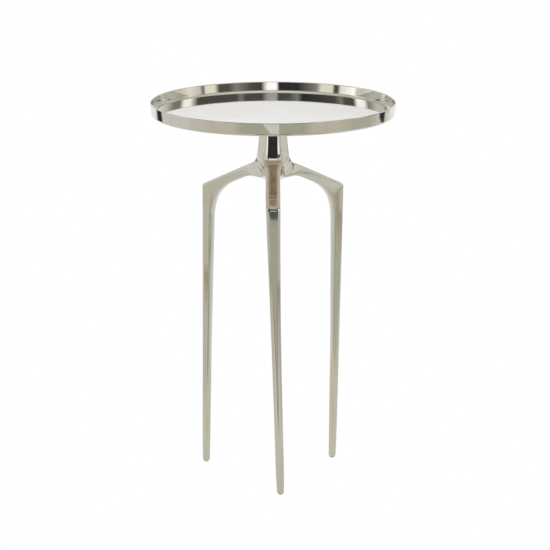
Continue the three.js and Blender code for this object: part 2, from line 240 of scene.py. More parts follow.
def combine(piece, tool, operation="DIFFERENCE"):
    """Joins a tool body to a piece or cuts it away, and takes the tool off the bench."""
    pick(piece)
    cut = piece.modifiers.new(operation.title(), "BOOLEAN")
    cut.operation = operation
    cut.object = tool
    bpy.ops.object.modifier_apply(modifier=cut.name)
    bpy.data.objects.remove(tool)
    return piece


def drill(piece, radius, low, high, centre=(0, 0), sides=SMALL_ROUND):
    return combine(piece, turned("drill", [(radius, low), (radius, high)], sides, centre))


def smooth(piece, crease=32):
    pick(piece)
    bpy.ops.object.shade_smooth_by_angle(angle=math.radians(crease))
    return piece


def smooth_turned(piece, crease=32):
    """Smooth shading that lets broad faces keep their true direction beside narrow rounded edges."""
    smooth(piece, crease)
    broad = piece.modifiers.new("Broad faces", "WEIGHTED_NORMAL")
    broad.keep_sharp = True
    bpy.ops.object.modifier_apply(modifier=broad.name)
    return piece


def turned_copy(piece, name, angle):
    """A copy with its own mesh, turned about the table's axis."""
    pick(piece)
    bpy.ops.object.duplicate(linked=False)
    copy = bpy.context.object
    copy.name = name
    copy.rotation_euler.z = math.radians(angle)
    bpy.ops.object.transform_apply(rotation=True)
    return copy


def at(angle, radius):
    a = math.radians(angle)
    return radius * math.sin(a), -radius * math.cos(a)


# ---------------------------------------------------------------- dish


def make_dish():
    heel = RIM - DISH_FLARE
    inside = heel - DISH_WALL
    section = [
        (BOSS_RADIUS, dish_low.z),
        (BOSS_RADIUS, DISH_BASE),
        (heel, DISH_BASE),
        (RIM, LIP_Z),
        (RIM - DISH_WALL, LIP_Z),
        (inside, DISH_FLOOR),
    ]
    section += [(inside * share, DISH_FLOOR) for share in FLOOR_RINGS]
    dish = turned("polished_dish", section, ROUND)
    round_ring(dish, BOSS_RADIUS, dish_low.z, BOSS_EDGE, 3)
    round_ring(dish, BOSS_RADIUS, DISH_BASE, BOSS_FILLET, 5)
    round_ring(dish, heel, DISH_BASE, DISH_HEEL, 8)
    round_ring(dish, RIM, LIP_Z, LIP_ROUNDING, 6)
    round_ring(dish, RIM - DISH_WALL, LIP_Z, LIP_ROUNDING, 6)
    round_ring(dish, inside, DISH_FLOOR, DISH_COVE, 6)
    for angle in TRAY_SCREWS.values():
        place = at(angle, tray_screw_circle)
        drill(dish, TRAY_SCREW_RADIUS + GAP, dish_low.z - PAST, screw_high.z + HOLE_SPARE, place)
    return smooth_turned(dish, 30)


# ---------------------------------------------------------------- legs


def mix(start, end, share):
    return start + (end - start) * share


def smoothstep(value, low, high):
    t = min(max((value - low) / (high - low), 0), 1)
    return t * t * (3 - 2 * t)


arm_fall = math.tan(ARM_PITCH)
arm_out = Vector((math.cos(ARM_PITCH), -math.sin(ARM_PITCH)))
arm_depth = ARM_THICKNESS / math.cos(ARM_PITCH)


def arm_top(reach):
    return Vector((reach, SHOULDER.y - (reach - SHOULDER.x) * arm_fall))


knee = arm_top(KNEE_REACH)
arch = arm_top(KNEE_REACH - KNEE_DEPTH) - Vector((0, arm_depth))
hub_corner = Vector((SHOULDER.x + (SHOULDER.y - HUB_BASE - arm_depth) / arm_fall, HUB_BASE))
neck_foot = Vector((NECK_REACH, LEG_TOP - NECK_STRAIGHT))
UP = Vector((0, 1))
INWARD = Vector((-1, 0))


def bend(corner, into, out, radius, share, steps):
    """A cage point on a round bend. The cage is drawn out, so that the smoothed surface is true."""
    turn = into.angle_signed(out)
    cage_radius = 3 * radius / (2 + math.cos(turn / steps))
    start = corner - into * radius * math.tan(abs(turn) / 2)
    side = Vector((into.y, -into.x)) * math.copysign(1, turn)
    centre = start + side * radius
    a = turn * share
    spoke = -side
    turned_spoke = Vector((
        spoke.x * math.cos(a) + spoke.y * math.sin(a),
        -spoke.x * math.sin(a) + spoke.y * math.cos(a)))
    return centre + turned_spoke * cage_radius


def shin(height):
    """Outer and inner points of the leg at a height below the arch."""
    outer_share = (height - FOOT_Z) / (knee.y - FOOT_Z)
    arch_end = arch.y - ARCH_BEND * math.tan((math.pi / 2 - ARM_PITCH) / 2)
    bow_share = (height - FOOT_Z) / (arch_end - FOOT_Z)
    outer = mix(FOOT_REACH, KNEE_REACH, outer_share) + 4 * LEG_BOW * outer_share * (1 - outer_share)
    inner_share = (height - FOOT_Z) / (arch.y - FOOT_Z)
    inner = mix(FOOT_REACH - FOOT_DEPTH, KNEE_REACH - KNEE_DEPTH, inner_share)
    inner += 4 * LEG_BOW * bow_share * (1 - bow_share)
    return Vector((outer, height)), Vector((inner, height))


def leg_stations():
    """Where the cage's rings lie, foot to neck: outer point, inner point and the flare of each."""
    heights = [FOOT_Z + rise for rise in TOE_RINGS] + [height * MM for height in SHIN_RINGS]
    stations = [(*shin(height), 0, 0) for height in heights]

    # Round the knee: the outer points close in on the corner, and the inner ones follow the arch.
    arm_in = -arm_out
    past_knee = {
        0: -KNEE_SPAN, 0.2: -KNEE_SPAN / 2, 0.4: -KNEE_BEND, 0.5: 0,
        0.6: KNEE_BEND, 0.8: KNEE_SPAN / 2, 1: KNEE_SPAN}
    for share, along in past_knee.items():
        outer = knee + (arm_in if along > 0 else UP) * along
        stations.append((outer, bend(arch, UP, arm_in, ARCH_BEND, share, 5), 0, 0))

    # Along the arm and over the hub: the outer points climb the shoulder while the inner ones cross below.
    underside = Vector((0, HUB_BASE))
    stations += [
        (knee + arm_in * ARM_RINGS[0], mix(arch, hub_corner, 0.72), 0, 0),
        (knee + arm_in * ARM_RINGS[1], bend(hub_corner, arm_in, INWARD, HUB_BEND, 0, 2), 0, 0),
        (knee + arm_in * ARM_RINGS[2], bend(hub_corner, arm_in, INWARD, HUB_BEND, 1, 2), 0, 1 * MM),
    ]
    neck_up = (neck_foot - SHOULDER).normalized()
    for share, reach, outer_flare, inner_flare in HUB_RINGS:
        outer = bend(SHOULDER, arm_in, neck_up, SHOULDER_BEND, share, 3)
        stations.append((outer, underside + Vector((reach, 0)), outer_flare, inner_flare))
    # Up the neck: the inner ends climb behind the axis, where the joint faces cut them off.
    stations += [
        (mix(SHOULDER, neck_foot, 0.62), Vector((-16 * MM, HUB_BASE)), 0, 11 * MM),
        (mix(SHOULDER, neck_foot, 0.85), Vector((BEHIND_AXIS, HUB_BASE + 3 * MM)), 0, 8 * MM),
        (neck_foot + UP * 4 * MM, Vector((BEHIND_AXIS, HUB_BASE + 32 * MM)), 0, 0),
        (neck_foot + UP * 16 * MM, Vector((BEHIND_AXIS, HUB_BASE + 62 * MM)), 0, 0),
        (neck_foot + UP * 40 * MM, Vector((BEHIND_AXIS, neck_foot.y + 40 * MM)), 0, 0),
    ]
    return stations


def leg_rings():
    """The cage corners of each ring, in the table's frame, for the leg that points to -Y."""
    stations = leg_stations()
    rings = []
    for i, (outer, inner, outer_flare, inner_flare) in enumerate(stations):
        before = stations[max(i - 1, 0)]
        after = stations[min(i + 1, len(stations) - 1)]
        outer_run = (after[0] - before[0]).normalized()
        inner_run = (after[1] - before[1]).normalized()
        faceted = smoothstep(outer.y, FACET_END, FACET_START)
        deep = mix(SHIN_EDGE_DEEP, EDGE_DEEP, faceted)
        outward = Vector((outer_run.y, -outer_run.x))
        outer_edge = outer - outward * deep
        inner_edge = inner + Vector((inner_run.y, -inner_run.x)) * BACK_EDGE_DEEP

        down = min(min(outer.y, inner.y) / knee.y, 1)
        along_arm = smoothstep(inner.x, NECK_REACH, KNEE_REACH - KNEE_DEPTH)
        width = mix(FOOT_WIDTH, mix(LEG_WIDTH, KNEE_WIDTH, along_arm), down ** TAPER_POWER)
        width *= 1 - TOE_NARROWING * (1 - smoothstep(outer.y, FOOT_Z, TOE_HEIGHT))
        lean = FOOT_LEAN * (1 - down) ** LEAN_POWER
        deep_share = deep / (outer - inner).length
        back = 1 - BACK_NARROWING * along_arm * mix(BACK_NARROWING_AT_FOOT, 1, down)
        half = width / 2
        flat = half - min(EDGE_ACROSS, MOST_EDGE * half)
        front_flat = mix(FACET_POINT, flat, faceted) + outer_flare
        back_flat = flat * back + inner_flare
        front_half = half + CORNER_LOSS + mix(outer_flare, inner_flare, deep_share)
        back_half = half * mix(back, 1, deep_share) + mix(inner_flare, outer_flare, deep_share)
        support = SIDE_SUPPORT / (outer_edge - inner_edge).length

        ring = []
        for side in (1, -1):
            ends = [
                (front_flat - min(SIDE_SUPPORT, front_flat / 2), outer + outward * FRONT_CROWN * faceted),
                (front_flat, outer),
                (mix(front_flat, front_half, EDGE_SUPPORT), mix(outer, outer_edge, EDGE_SUPPORT)),
                (front_half, outer_edge),
                (mix(front_half, back_half, support) + SIDE_CROWN, mix(outer_edge, inner_edge, support)),
                (mix(back_half, front_half, support) + SIDE_CROWN, mix(inner_edge, outer_edge, support)),
                (back_half, inner_edge),
                (back_flat, inner),
                (back_flat - min(SIDE_SUPPORT, back_flat / 2), inner),
            ]
            for across, point in ends if side > 0 else reversed(ends):
                ring.append(Vector((side * across + lean, -point.x, point.y)))
        rings.append(ring)
    return rings


def cut_flat(piece, place, facing):
    """Saws a piece along a plane and faces the cut. What lies on the side it faces is thrown away."""
    edit(piece, "FACE")
    bpy.ops.mesh.select_all(action="SELECT")
    bpy.ops.mesh.bisect(plane_co=place, plane_no=facing, use_fill=True, clear_outer=True)
    return finish_edit(piece)


def make_leg():
    """Drawn out ring by ring from the foot, smoothed, then sawn and drilled like the casting."""
    rings = leg_rings()
    deselect()
    bpy.ops.mesh.primitive_circle_add(vertices=len(rings[0]), radius=FOOT_WIDTH / 2, fill_type="NGON")
    leg = bpy.context.object
    leg.name = "cast_leg_front"
    bpy.ops.object.mode_set(mode="EDIT")
    shape = bmesh.from_edit_mesh(leg.data)
    for corner, place in zip(shape.verts, rings[0]):
        corner.co = place
    for last, ring in zip(rings, rings[1:]):
        bpy.ops.mesh.extrude_region_move()
        shape = bmesh.from_edit_mesh(leg.data)
        for corner in [v for v in shape.verts if v.select]:
            nearest = min(range(len(last)), key=lambda k: (last[k] - corner.co).length)
            corner.co = ring[nearest]
        bmesh.update_edit_mesh(leg.data)
    finish_edit(leg)

    # A smaller ring inside the sole keeps it flat.
    edit(leg, "FACE")
    shape = bmesh.from_edit_mesh(leg.data)
    for face in shape.faces:
        face.select_set(all(abs(v.co.z - FOOT_Z) < NEAR for v in face.verts))
    bmesh.update_edit_mesh(leg.data)
    bpy.ops.mesh.inset(thickness=SOLE_INSET)
    finish_edit(leg)

    pick(leg)
    skin = leg.modifiers.new("Casting", "SUBSURF")
    skin.levels = skin.render_levels = SKIN_LEVELS
    bpy.ops.object.modifier_apply(modifier=skin.name)

    cut_flat(leg, (0, 0, LEG_TOP), (0, 0, 1))
    half_share = math.radians(180 / len(LEGS))
    for side in (1, -1):
        facing = Vector((side * math.cos(half_share), math.sin(half_share), 0))
        cut_flat(leg, facing * -JOINT_SLOT / 2, facing)
    drill(leg, TIE_RADIUS + GAP, HUB_BASE - PAST, LEG_TOP + PAST)
    screw_place = (0, -leg_screw_circle)
    drill(leg, LEG_SCREW_RADIUS + GAP, leg_screw_low.z - HOLE_SPARE, LEG_TOP + PAST, screw_place)
    drill(leg, GLIDE_STEM_RADIUS + GAP, FOOT_Z - PAST, glide_high.z + HOLE_SPARE, glide_place.xy)
    return smooth(leg, 30)


# ---------------------------------------------------------------- plate, fasteners and glides


def make_plate():
    low, high, radius = plate_low.z, plate_high.z, plate_high.x
    plate = turned("mounting_disc", [(radius, low), (radius, high)], PLATE_ROUND)
    round_ring(plate, radius, low, PLATE_CHAMFER, 3)
    round_ring(plate, radius, high, PLATE_TOP_EDGE, 2)

    def countersink(centre, shank, head):
        head_radius, head_depth = head
        tool = turned("countersink", [
            (shank + GAP, low - PAST),
            (shank + GAP, high - head_depth - GAP),
            (head_radius + GAP, high - GAP),
            (head_radius + GAP, high + PAST),
        ], SMALL_ROUND, centre)
        combine(plate, tool)

    countersink((0, 0), TIE_RADIUS, TIE_HEAD)
    for angle in LEGS.values():
        countersink(at(angle, leg_screw_circle), LEG_SCREW_RADIUS, LEG_SCREW_HEAD)
    for angle in TRAY_SCREWS.values():
        drill(plate, TRAY_SCREW_RADIUS + GAP, low - PAST, high + PAST, at(angle, tray_screw_circle))
    return smooth_turned(plate)


def make_cap_nut():
    corner = CAP_ACROSS / math.sqrt(3)
    end = CAP_ACROSS / 2 - CAP_CONE_INSET
    top = cap_high.z
    base = top - CAP_HEX
    nut = turned("acorn_nut", [(corner, base), (corner, top)], 6)
    # Both ends of the hexagon are turned down to a cone, as on a machined nut.
    blank = turned("blank", [(end, base), (corner, base + CAP_CONE), (corner, top - CAP_CONE), (end, top)])
    combine(nut, blank, "INTERSECT")
    radius = CAP_ACROSS / 2 - CAP_STEP
    seat = cap_low.z + radius
    turns = [math.radians(90 * k / CAP_DOME_STEPS) for k in range(CAP_DOME_STEPS)]
    arc = [(radius * math.cos(turn), seat - radius * math.sin(turn)) for turn in turns]
    combine(nut, turned("dome", [(radius, top - CAP_ROOT)] + arc), "UNION")
    drill(nut, TIE_RADIUS + GAP, bolt_low.z - GAP, top + PAST)
    return smooth_turned(nut, 28)


def make_hub_washer():
    low, high, radius = washer_low.z, washer_high.z, washer_high.x
    washer = turned("hub_clamp_washer", [(radius, low), (radius, high)])
    round_ring(washer, radius, low, HUB_WASHER_BEVEL, 4)
    drill(washer, TIE_RADIUS + GAP, low - PAST, high + PAST)
    return smooth_turned(washer)


def make_tray_screw():
    place = at(TRAY_SCREWS["rear"], tray_screw_circle)
    low = screw_low.z
    head_top = low + TRAY_SCREW_HEAD_HEIGHT
    screw = turned("socket_screw_rear", [
        (TRAY_SCREW_HEAD, low),
        (TRAY_SCREW_HEAD, head_top),
        (TRAY_SCREW_RADIUS, head_top),
        (TRAY_SCREW_RADIUS, screw_high.z),
    ], SMALL_ROUND, place)
    round_ring(screw, TRAY_SCREW_HEAD, low, TRAY_SCREW_EDGE, 3, place)
    drill(screw, SOCKET_RADIUS, low - PAST, low + SOCKET_DEPTH, place, 6)
    return smooth_turned(screw)


def make_flat_washer():
    place = at(TRAY_SCREWS["rear"], tray_screw_circle)
    low, high, radius = flat_low.z, flat_high.z, (flat_high.x - flat_low.x) / 2
    washer = turned("plain_washer_rear", [(radius, low), (radius, high)], SMALL_ROUND, place)
    round_ring(washer, radius, low, FLAT_WASHER_EDGE, 2, place)
    drill(washer, TRAY_SCREW_RADIUS + GAP, low - PAST, high + PAST, place)
    return smooth_turned(washer)


def make_glide():
    radius = (glide_high.x - glide_low.x) / 2
    glide = turned("foot_glide_front", [
        (radius, 0),
        (radius, GLIDE_HEIGHT),
        (GLIDE_STEM_RADIUS, GLIDE_HEIGHT),
        (GLIDE_STEM_RADIUS, glide_high.z),
    ], SMALL_ROUND, glide_place.xy)
    round_ring(glide, radius, 0, GLIDE_EDGE, 4, glide_place.xy)
    round_ring(glide, radius, GLIDE_HEIGHT, GLIDE_TOP_EDGE, 2, glide_place.xy)
    round_ring(glide, GLIDE_STEM_RADIUS, glide_high.z, GLIDE_STEM_EDGE, 2, glide_place.xy)
    return smooth_turned(glide)


# ---------------------------------------------------------------- materials

NICKEL = (0.80, 0.79, 0.75)
NICKEL_DULL = (0.74, 0.72, 0.66)
NICKEL_HOLLOW = [part * 0.6 for part in NICKEL_DULL]
SATIN_TONE = (0.84, 0.74, 0.66)
SATIN_EDGE = 0.6 * MM  # height over which satin turns into mirror
SATIN_ROUGHNESS = 0.3  # added to the mirror's
MIRROR_ROUGHNESS = 0.03
WAVE_HEIGHT = 0.06 * MM


class Nodes:
    """Adds and links nodes in one tree."""

    def __init__(self, tree):
        self.tree = tree

    def put(self, node, socket, value):
        """Links a node's socket to another's output, or sets it to a plain value."""
        if isinstance(value, bpy.types.NodeSocket):
            self.tree.links.new(value, node.inputs[socket])
        else:
            node.inputs[socket].default_value = value

    def add(self, kind, inputs=None, **settings):
        node = self.tree.nodes.new(kind)
        for name, value in settings.items():
            setattr(node, name, value)
        for socket, value in (inputs or {}).items():
            self.put(node, socket, value)
        return node

    def math(self, operation, first, second=0.0, third=0.0):
        return self.add("ShaderNodeMath", {0: first, 1: second, 2: third}, operation=operation).outputs[0]

    def stretch(self, value, low, high, new_low=0.0, new_high=1.0):
        """Maps a range of values to another, clamped."""
        return self.add("ShaderNodeMapRange", {
            "Value": value, "From Min": low, "From Max": high, "To Min": new_low, "To Max": new_high,
        }).outputs["Result"]

    def blend(self, share, first, second, how="MIX"):
        """Mixes two colours."""
        return self.add(
            "ShaderNodeMix", {0: share, 6: first, 7: second}, data_type="RGBA", blend_type=how).outputs[2]

    def ramp(self, value, stops):
        """Colours along a value from 0 to 1."""
        node = self.add("ShaderNodeValToRGB", {"Fac": value})
        elements = node.color_ramp.elements
        while len(elements) > 1:
            elements.remove(elements[-1])
        elements[0].position = stops[0][0]
        elements[0].color = (*stops[0][1], 1)
        for position, colour in stops[1:]:
            elements.new(position).color = (*colour, 1)
        return node.outputs["Color"]


def new_group(name, inputs, outputs):
    """An empty node group with plain number sockets, its nodes, what it is given and what it puts out."""
    group = bpy.data.node_groups.new(name, "ShaderNodeTree")
    for socket, value in inputs.items():
        made = group.interface.new_socket(socket, in_out="INPUT", socket_type="NodeSocketFloat")
        made.default_value = value
    for socket in outputs:
        group.interface.new_socket(socket, in_out="OUTPUT", socket_type="NodeSocketFloat")
    nodes = Nodes(group)
    return group, nodes, nodes.add("NodeGroupInput").outputs, nodes.add("NodeGroupOutput")


def ripple_group():
    """Slow waves that hand polishing leaves in a casting, as a height from 0 to 1."""
    group, nodes, given, result = new_group("casting ripple", {"Wave Length": 0.03}, ["Height"])
    place = nodes.add("ShaderNodeTexCoord").outputs["Object"]
    scale = nodes.math("DIVIDE", 1.0, given["Wave Length"])
    slow = nodes.add("ShaderNodeTexNoise", {"Vector": place, "Scale": scale, "Detail": 1.0, "Roughness": 0.4})
    finer = nodes.add("ShaderNodeTexNoise", {
        "Vector": place, "Scale": nodes.math("MULTIPLY", scale, 3.1), "Detail": 0.0})
    height = nodes.math("MULTIPLY_ADD", finer.outputs["Fac"], 0.16, slow.outputs["Fac"])
    nodes.put(result, "Height", height)
    return group


def marks_group():
    """Hairline polishing marks that run along one direction, as a mask."""
    group, nodes, given, result = new_group("polishing marks", {"Spacing": 0.0008, "Length": 30.0}, ["Mask"])
    place = nodes.add("ShaderNodeTexCoord").outputs["Object"]
    parts = nodes.add("ShaderNodeSeparateXYZ", {"Vector": place}).outputs
    along = nodes.math("DIVIDE", parts["Z"], given["Length"])
    drawn = nodes.add("ShaderNodeCombineXYZ", {"X": parts["X"], "Y": parts["Y"], "Z": along}).outputs[0]
    scale = nodes.math("DIVIDE", 1.0, given["Spacing"])
    fine = nodes.add("ShaderNodeTexNoise", {"Vector": drawn, "Scale": scale, "Detail": 2.0})
    patchy = nodes.add("ShaderNodeTexNoise", {"Vector": place, "Scale": 14.0, "Detail": 1.0})
    lines = nodes.stretch(fine.outputs["Fac"], 0.56, 0.74)
    mask = nodes.math("MULTIPLY", lines, nodes.stretch(patchy.outputs["Fac"], 0.42, 0.62))
    nodes.put(result, "Mask", mask)
    return group


def haze_group():
    """Soft clouds of handling and old polish, as a mask."""
    group, nodes, given, result = new_group("handling haze", {"Size": 0.05}, ["Mask"])
    place = nodes.add("ShaderNodeTexCoord").outputs["Object"]
    scale = nodes.math("DIVIDE", 1.0, given["Size"])
    cloud = nodes.add("ShaderNodeTexNoise", {
        "Vector": place, "Scale": scale, "Detail": 4.0, "Roughness": 0.6, "Distortion": 0.4})
    mask = nodes.stretch(cloud.outputs["Fac"], 0.38, 0.7)
    nodes.put(result, "Mask", mask)
    return group


def edge_group():
    """Where a corner stands out and is rubbed, and where the surface is concave, as two masks."""
    group, nodes, given, result = new_group("edge wear", {"Reach": 0.06}, ["Rubbed", "Hollow"])
    pointed = nodes.add("ShaderNodeNewGeometry").outputs["Pointiness"]
    place = nodes.add("ShaderNodeTexCoord").outputs["Object"]
    broken = nodes.add("ShaderNodeTexNoise", {"Vector": place, "Scale": 160.0, "Detail": 3.0}).outputs["Fac"]
    high = nodes.math("ADD", given["Reach"], 0.5)
    low = nodes.math("SUBTRACT", 0.5, given["Reach"])
    rubbed = nodes.math("MULTIPLY", nodes.stretch(pointed, 0.505, high), nodes.stretch(broken, 0.3, 0.6))
    hollow = nodes.stretch(pointed, 0.495, low)
    nodes.put(result, "Rubbed", rubbed)
    nodes.put(result, "Hollow", hollow)
    return group


RIPPLE = ripple_group()
MARKS = marks_group()
HAZE = haze_group()
EDGE = edge_group()


def new_material(name):
    material = bpy.data.materials.new(name)
    material.use_nodes = True
    nodes = Nodes(material.node_tree)
    nodes.tree.nodes.clear()
    shader = nodes.add("ShaderNodeBsdfPrincipled")
    nodes.add("ShaderNodeOutputMaterial", {"Surface": shader.outputs["BSDF"]})
    return material, nodes, shader


def use(nodes, group, inputs):
    """Places a group in a material with its own values."""
    node = nodes.add("ShaderNodeGroup", node_tree=group)
    for socket, value in inputs.items():
        node.inputs[socket].default_value = value
    return node.outputs


def polished_alloy(name, wave_length, marks_spacing, satin_below=-1.0):
    """Cast alloy with a warm nickel tone, hand polished to a mirror above one height and satin below it."""
    material, nodes, shader = new_material(name)
    haze = use(nodes, HAZE, {"Size": 0.055})["Mask"]
    marks = use(nodes, MARKS, {"Spacing": marks_spacing, "Length": 40.0})["Mask"]
    edge = use(nodes, EDGE, {"Reach": 0.08})
    ripple = use(nodes, RIPPLE, {"Wave Length": wave_length})["Height"]

    toned = nodes.blend(nodes.math("MULTIPLY", haze, 0.5), (*NICKEL, 1), (*NICKEL_DULL, 1))
    hollowed = nodes.blend(nodes.math("MULTIPLY", edge["Hollow"], 0.35), toned, (*NICKEL_HOLLOW, 1))
    place = nodes.add("ShaderNodeTexCoord").outputs["Object"]
    height_up = nodes.add("ShaderNodeSeparateXYZ", {"Vector": place}).outputs["Z"]
    satin = nodes.stretch(height_up, satin_below, satin_below + SATIN_EDGE, 1.0, 0.0)
    nodes.put(shader, "Base Color", nodes.blend(satin, hollowed, (*SATIN_TONE, 1)))

    rough = nodes.math("MULTIPLY_ADD", haze, 0.015, MIRROR_ROUGHNESS)
    rough = nodes.math("MULTIPLY_ADD", satin, SATIN_ROUGHNESS, rough)
    rough = nodes.math("MULTIPLY_ADD", marks, 0.08, rough)
    rough = nodes.math("MULTIPLY_ADD", edge["Rubbed"], 0.05, rough)
    nodes.put(shader, "Roughness", rough)

    height = nodes.math("MULTIPLY_ADD", marks, -0.004, ripple)
    bump = nodes.add("ShaderNodeBump", {"Strength": 1.0, "Distance": WAVE_HEIGHT, "Height": height})
    nodes.put(shader, "Normal", bump.outputs["Normal"])
    shader.inputs["Metallic"].default_value = 1.0
    return material


def zinc_steel(name, tone, roughness):
    """Zinc-plated steel: faintly clouded, with rubbed corners and darker hollows."""
    material, nodes, shader = new_material(name)
    haze = use(nodes, HAZE, {"Size": 0.006})["Mask"]
    edge = use(nodes, EDGE, {"Reach": 0.1})
    marks = use(nodes, MARKS, {"Spacing": 0.0003, "Length": 6.0})["Mask"]
    darker = [part * 0.72 for part in tone]
    clouded = nodes.blend(haze, (*tone, 1), (*darker, 1))
    rubbed = nodes.blend(edge["Rubbed"], clouded, (0.86, 0.86, 0.85, 1))
    kept = nodes.blend(nodes.math("MULTIPLY", edge["Hollow"], 0.6), rubbed, (0.16, 0.15, 0.14, 1))
    nodes.put(shader, "Base Color", kept)
    rough = nodes.math("MULTIPLY_ADD", haze, 0.12, roughness)
    nodes.put(shader, "Roughness", rough)
    bump = nodes.add("ShaderNodeBump", {"Strength": 0.5, "Distance": 0.00005, "Height": marks})
    nodes.put(shader, "Normal", bump.outputs["Normal"])
    shader.inputs["Metallic"].default_value = 1.0
    return material


def glide_plastic():
    """Pale moulded polythene, scuffed where it stands."""
    material, nodes, shader = new_material("pale glide plastic")
    haze = use(nodes, HAZE, {"Size": 0.002})["Mask"]
    edge = use(nodes, EDGE, {"Reach": 0.1})
    scuffed = nodes.blend(haze, (0.82, 0.81, 0.76, 1), (0.72, 0.70, 0.64, 1))
    kept = nodes.blend(nodes.math("MULTIPLY", edge["Rubbed"], 0.5), scuffed, (0.58, 0.55, 0.49, 1))
    nodes.put(shader, "Base Color", kept)
    rough = nodes.math("MULTIPLY_ADD", haze, 0.2, 0.38)
    nodes.put(shader, "Roughness", rough)
    bump = nodes.add("ShaderNodeBump", {"Strength": 0.4, "Distance": 0.0001, "Height": haze})
    nodes.put(shader, "Normal", bump.outputs["Normal"])
    shader.inputs["Subsurface Weight"].default_value = 0.15
    shader.inputs["Subsurface Radius"].default_value = (0.002, 0.0018, 0.0015)
    return material


dish_polish = polished_alloy("dish mirror polish", 0.045, 0.0012, satin_below=DISH_BASE + 0.3 * MM)
leg_polish = polished_alloy("leg mirror polish", 0.028, 0.0009)
plate_zinc = zinc_steel("plate yellow zinc", (0.78, 0.58, 0.40), 0.3)
screw_zinc = zinc_steel("fastener zinc", (0.70, 0.71, 0.72), 0.26)
polythene = glide_plastic()

# ---------------------------------------------------------------- assembly


def fit(piece, node, material):
    """Puts a finished piece in the place of its node."""
    piece.data.materials.clear()
    piece.data.materials.append(material)
    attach(piece, "root")
    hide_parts(node)


def fit_round(first, names, own_angle, label, node_label, material):
    """Fits a piece, which stands at its own angle already, and its copies round the axis."""
    pieces = {}
    for name, angle in names.items():
        turn = angle - own_angle
        pieces[name] = turned_copy(first, f"{label}_{name}", turn) if turn else first
    for name, piece in pieces.items():
        fit(piece, f"{node_label}_{name}", material)


fit(make_dish(), "tray_dish", dish_polish)
fit_round(make_leg(), LEGS, 0, "cast_leg", "leg", leg_polish)
fit(make_plate(), "mounting_plate", plate_zinc)
fit(make_cap_nut(), "cap_nut", screw_zinc)
fit(make_hub_washer(), "hub_washer", screw_zinc)
fit_round(make_tray_screw(), TRAY_SCREWS, 180, "socket_screw", "tray_screw", screw_zinc)
fit_round(make_flat_washer(), TRAY_SCREWS, 180, "plain_washer", "flat_washer", screw_zinc)
fit_round(make_glide(), LEGS, 0, "foot_glide", "glide", polythene)

# The tie bolt, the leg screws and the spring washers keep their shape from the frame.
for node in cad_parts.values():
    if not node.hide_render:
        node.data.materials.clear()
        node.data.materials.append(screw_zinc)

# ---------------------------------------------------------------- studio

WHITE = (0.90, 0.90, 0.90)
GLARE = (1.25, 1.25, 1.25)
BLACK = (0.03, 0.03, 0.032)
DUSK = (0.095, 0.09, 0.08)
SMOKE = (0.26, 0.25, 0.235)
PALE = (0.68, 0.67, 0.62)
STRAW = (0.90, 0.88, 0.74)
OLIVE = (0.56, 0.53, 0.42)
# Bearings in degrees, 0 to the front and positive to the right, and what stands there.
OUTER_WALL = [
    (-180, WHITE), (-156, WHITE), (-139, PALE), (-136, BLACK), (-127, BLACK), (-124, PALE), (-70, PALE),
    (-52, PALE), (-44, DUSK), (0, DUSK), (36, DUSK), (44, PALE), (70, PALE), (114, PALE), (117, BLACK),
    (125, BLACK), (129, PALE), (156, WHITE), (180, WHITE)]
HORIZON = [
    (-180, WHITE), (-140, WHITE), (-137, SMOKE), (-118, SMOKE), (-114, PALE), (-52, PALE), (-50, GLARE),
    (-46, GLARE), (-44, BLACK), (0, BLACK), (36, BLACK), (39, GLARE), (46, GLARE), (49, PALE), (92, PALE),
    (96, BLACK), (134, BLACK), (138, WHITE), (180, WHITE)]
SOFT_BOX_SIZE = 1.4
SOFT_BOX_POWER = 30
CAMERA_PLACE = (0, -4.0145, 1.3256)
CAMERA_TILT = math.radians(13.768)  # down from level
CAMERA_LENS = 162.26
CAMERA_SENSOR = 36
CAMERA_SHIFT = 0.00365
FRONT_RISE = 16  # degrees that the bands mirrored in the dish's wall stand higher in front than behind


def compass(nodes, parts):
    """The bearing in radians, 0 to the front and positive to the right, and as a share of a full turn."""
    bearing = nodes.math("ARCTAN2", parts["X"], nodes.math("MULTIPLY", parts["Y"], -1.0))
    return bearing, nodes.math("MULTIPLY_ADD", bearing, 0.5 / math.pi, 0.5)


def panels(nodes, turn, stops):
    """Colours by bearing in degrees. Long lists take two ramps."""
    left = [(bearing / 360 + 0.5, colour) for bearing, colour in stops if bearing <= 0]
    right = [(bearing / 360 + 0.5, colour) for bearing, colour in stops if bearing > 0]
    right.insert(0, (0.5, left[-1][1]))
    half = nodes.math("GREATER_THAN", turn, 0.5)
    return nodes.blend(half, nodes.ramp(turn, left), nodes.ramp(turn, right))


